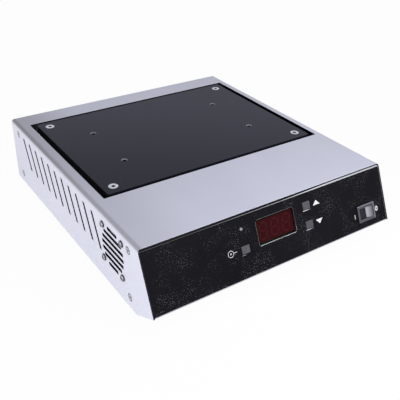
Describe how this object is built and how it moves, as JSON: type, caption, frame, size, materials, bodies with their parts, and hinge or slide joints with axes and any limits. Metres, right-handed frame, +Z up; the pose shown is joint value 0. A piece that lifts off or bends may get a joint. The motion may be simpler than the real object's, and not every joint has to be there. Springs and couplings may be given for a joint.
{
  "type": "pcb preheater",
  "caption": "Bench preheating plate for circuit boards: flat hot plate let into a folded sheet case with slit sides, a fan and a sloping black control panel.",
  "frame": {"origin": "on the floor under the middle of the case's width and depth", "axes": "+X to the right as seen from the control panel, +Y to the rear, +Z up"},
  "size_m": [0.2518, 0.2897, 0.0703],
  "materials": {
    "cover_paint": "satin silver-grey paint",
    "zinc_sheet": "plain zinc-plated sheet",
    "panel_metal": "bare folded aluminium",
    "overlay_black": "matt black foil with printed marks",
    "bright_screws": "bright plated",
    "steel_fasteners": "plain plated steel",
    "foot_rubber": "matt black",
    "plate_metal": "dark blue-grey hard-coated aluminium",
    "steatite": "unglazed ivory ceramic",
    "mica": "pressed mica sheet",
    "pan_dark": "heat-resistant black",
    "fibre_mat": "white ceramic fibre",
    "board_green": "green solder mask",
    "brass": "plain",
    "display_black": "black",
    "red_filter": "dark red",
    "cap_grey": "grey",
    "led_clear": "milky clear",
    "switch_grey": "grey",
    "black_plastic": "black",
    "post_nylon": "natural nylon",
    "core_iron": "varnished laminations",
    "sink_black": "black anodised",
    "blue_plastic": "blue",
    "pin_plating": "nickel plated",
    "lead_sleeve": "silicone and glass sleeve",
    "ribbon_grey": "grey"
  },
  "bodies": {
    "case": {"cover": "cover_paint", "base_tray": "zinc_sheet", "front_panel": "panel_metal", "panel_overlay": "overlay_black", "rear_panel": "cover_paint", "rear_brackets": "zinc_sheet", "cover_screws": "bright_screws", "rubber_feet": "foot_rubber", "foot_screws": "steel_fasteners", "foot_nuts": "steel_fasteners", "heating_plate": "plate_metal", "plate_screws": "bright_screws", "plate_standoffs": "steatite", "pan_spacers": "steel_fasteners", "base_bolts": "steel_fasteners", "heater_element": "mica", "clamp_plate": "steel_fasteners", "clamp_screws": "steel_fasteners", "reflector_pan": "pan_dark", "insulation_mat": "fibre_mat", "temperature_sensor": "steel_fasteners", "thermal_cutout": "steel_fasteners", "control_board": "board_green", "board_spacers": "brass", "board_screws": "steel_fasteners", "display_module": "display_black", "display_filter": "red_filter", "key_switches": "black_plastic", "status_led": "led_clear", "led_spacer": "black_plastic", "power_switch": "switch_grey", "power_board": "board_green", "power_posts": "post_nylon", "power_screws": "steel_fasteners", "transformer": "core_iron", "heatsink": "sink_black", "triac": "black_plastic", "relay": "blue_plastic", "capacitors": "blue_plastic", "fuse": "black_plastic", "terminal_block": "board_green", "mains_inlet": "black_plastic", "inlet_pins": "pin_plating", "inlet_screws": "steel_fasteners", "remote_socket": "black_plastic", "remote_nut": "steel_fasteners", "fan_frame": "black_plastic", "fan_screws": "steel_fasteners", "fan_nuts": "steel_fasteners", "earth_terminal": "brass", "heater_leads": "lead_sleeve", "mains_leads": "lead_sleeve", "sensor_lead": "lead_sleeve", "fan_lead": "lead_sleeve", "ribbon_cable": "ribbon_grey"},
    "rocker": {"power_rocker": "switch_grey"},
    "up_key": {"button_up": "cap_grey"},
    "down_key": {"button_down": "cap_grey"},
    "mode_key": {"button_mode": "cap_grey"},
    "rotor": {"fan_rotor": "black_plastic"}
  },
  "joints": [
    {"name": "power_rocker_tilt", "type": "hinge", "parent": "case", "child": "rocker", "pos_m": [0.0986, -0.13576, 0.03321], "axis": [0, 0.4001, 0.9165], "range_deg": [0, 22]},
    {"name": "up_press", "type": "slide", "parent": "case", "child": "up_key", "axis": [0, 0.9165, -0.4001], "range_m": [0, 0.0008], "stiffness_N_per_m": 400, "springref_m": -0.0005},
    {"name": "down_press", "type": "slide", "parent": "case", "child": "down_key", "axis": [0, 0.9165, -0.4001], "range_m": [0, 0.0008], "stiffness_N_per_m": 400, "springref_m": -0.0005},
    {"name": "mode_press", "type": "slide", "parent": "case", "child": "mode_key", "axis": [0, 0.9165, -0.4001], "range_m": [0, 0.0008], "stiffness_N_per_m": 400, "springref_m": -0.0005},
    {"name": "fan_spin", "type": "hinge", "parent": "case", "child": "rotor", "pos_m": [-0.1238, -0.08025, 0.044], "axis": [1, 0, 0], "continuous": true}
  ]
}
